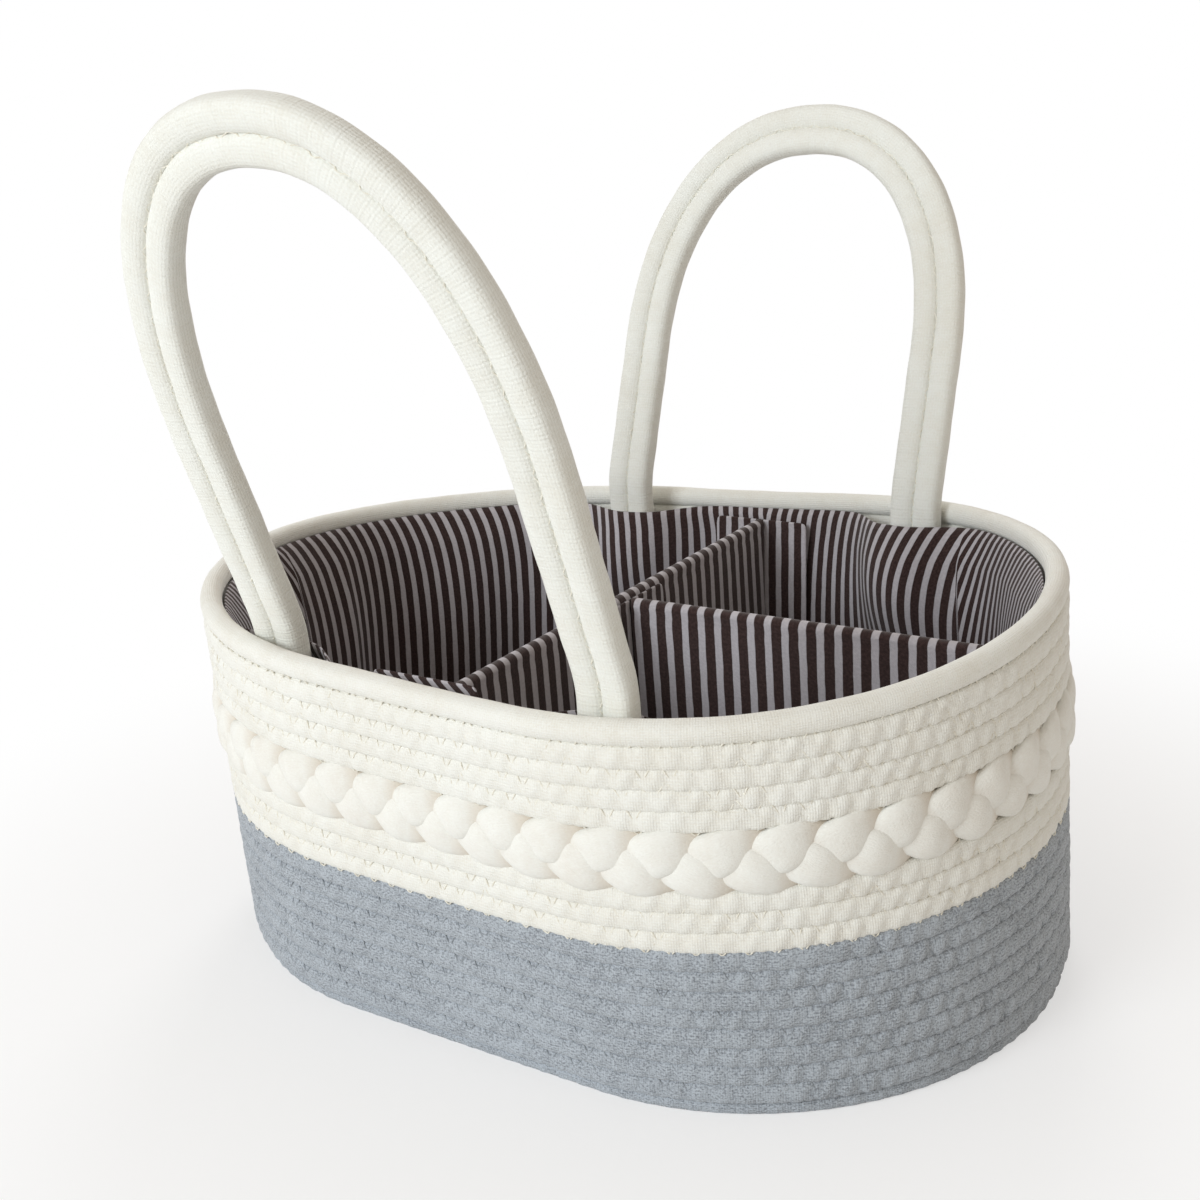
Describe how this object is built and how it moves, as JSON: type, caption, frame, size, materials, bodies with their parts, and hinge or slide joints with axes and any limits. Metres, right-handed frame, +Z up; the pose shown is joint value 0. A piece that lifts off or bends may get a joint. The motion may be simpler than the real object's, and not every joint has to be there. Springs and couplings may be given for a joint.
{
  "type": "diaper caddy",
  "caption": "Oval coiled-cord caddy with a plaited band, a striped cloth lining, two upright cord handles and two lift-out dividers that part its right half.",
  "frame": {"origin": "on the floor, under the middle of the base", "axes": "+Z up, +X along the caddy towards the divided right half, -Y towards the front handle"},
  "size_m": [0.387, 0.3825, 0.3693],
  "materials": {
    "grey_cord": "matte cotton cord",
    "cream_cord": "matte cotton cord",
    "handle_cord": "matte cotton cord",
    "striped_cloth": "woven cotton with dark brown and white stripes",
    "board": "plain stiff board",
    "hook_tape": "nylon hook tape",
    "loop_tape": "nylon loop tape"
  },
  "bodies": {
    "basket": {"base_coil": "grey_cord", "grey_wall_coil": "grey_cord", "lower_cream_coil": "cream_cord", "braid_strand_a": "cream_cord", "braid_strand_b": "cream_cord", "braid_strand_c": "cream_cord", "upper_cream_coil": "cream_cord", "rim_cord": "cream_cord", "front_left_outer_cord_end": "handle_cord", "front_left_inner_cord_end": "handle_cord", "front_right_inner_cord_end": "handle_cord", "front_right_outer_cord_end": "handle_cord", "back_left_outer_cord_end": "handle_cord", "back_left_inner_cord_end": "handle_cord", "back_right_inner_cord_end": "handle_cord", "back_right_outer_cord_end": "handle_cord", "wall_lining": "striped_cloth", "floor_lining": "striped_cloth", "front_wall_loop_tape": "loop_tape", "back_wall_loop_tape": "loop_tape", "end_wall_loop_tape": "loop_tape"},
    "front_handle": {"front_handle_outer_cord": "handle_cord", "front_handle_inner_cord": "handle_cord"},
    "back_handle": {"back_handle_outer_cord": "handle_cord", "back_handle_inner_cord": "handle_cord"},
    "cross_divider": {"cross_divider_cover": "striped_cloth", "cross_divider_board": "board", "cross_divider_front_flap": "striped_cloth", "cross_divider_back_flap": "striped_cloth", "cross_divider_front_hook_tape": "hook_tape", "cross_divider_back_hook_tape": "hook_tape", "cross_divider_loop_tape": "loop_tape"},
    "long_divider": {"long_divider_cover": "striped_cloth", "long_divider_board": "board", "long_divider_joint_flap": "striped_cloth", "long_divider_joint_hook_tape": "hook_tape", "long_divider_end_flap": "striped_cloth", "long_divider_end_hook_tape": "hook_tape"}
  },
  "joints": [
    {"name": "front_handle_swing", "type": "hinge", "parent": "basket", "child": "front_handle", "pos_m": [0, -0.12339, 0.16685], "axis": [1, 0, 0], "range_deg": [-52, 40]},
    {"name": "back_handle_swing", "type": "hinge", "parent": "basket", "child": "back_handle", "pos_m": [0.008, 0.12008, 0.16685], "axis": [-1, 0, 0], "range_deg": [-48, 33]},
    {"name": "cross_divider_lift", "type": "slide", "parent": "basket", "child": "cross_divider", "axis": [0, 0, 1], "range_m": [0, 0.156]},
    {"name": "long_divider_lift", "type": "slide", "parent": "basket", "child": "long_divider", "axis": [0, 0, 1], "range_m": [0, 0.156]}
  ]
}
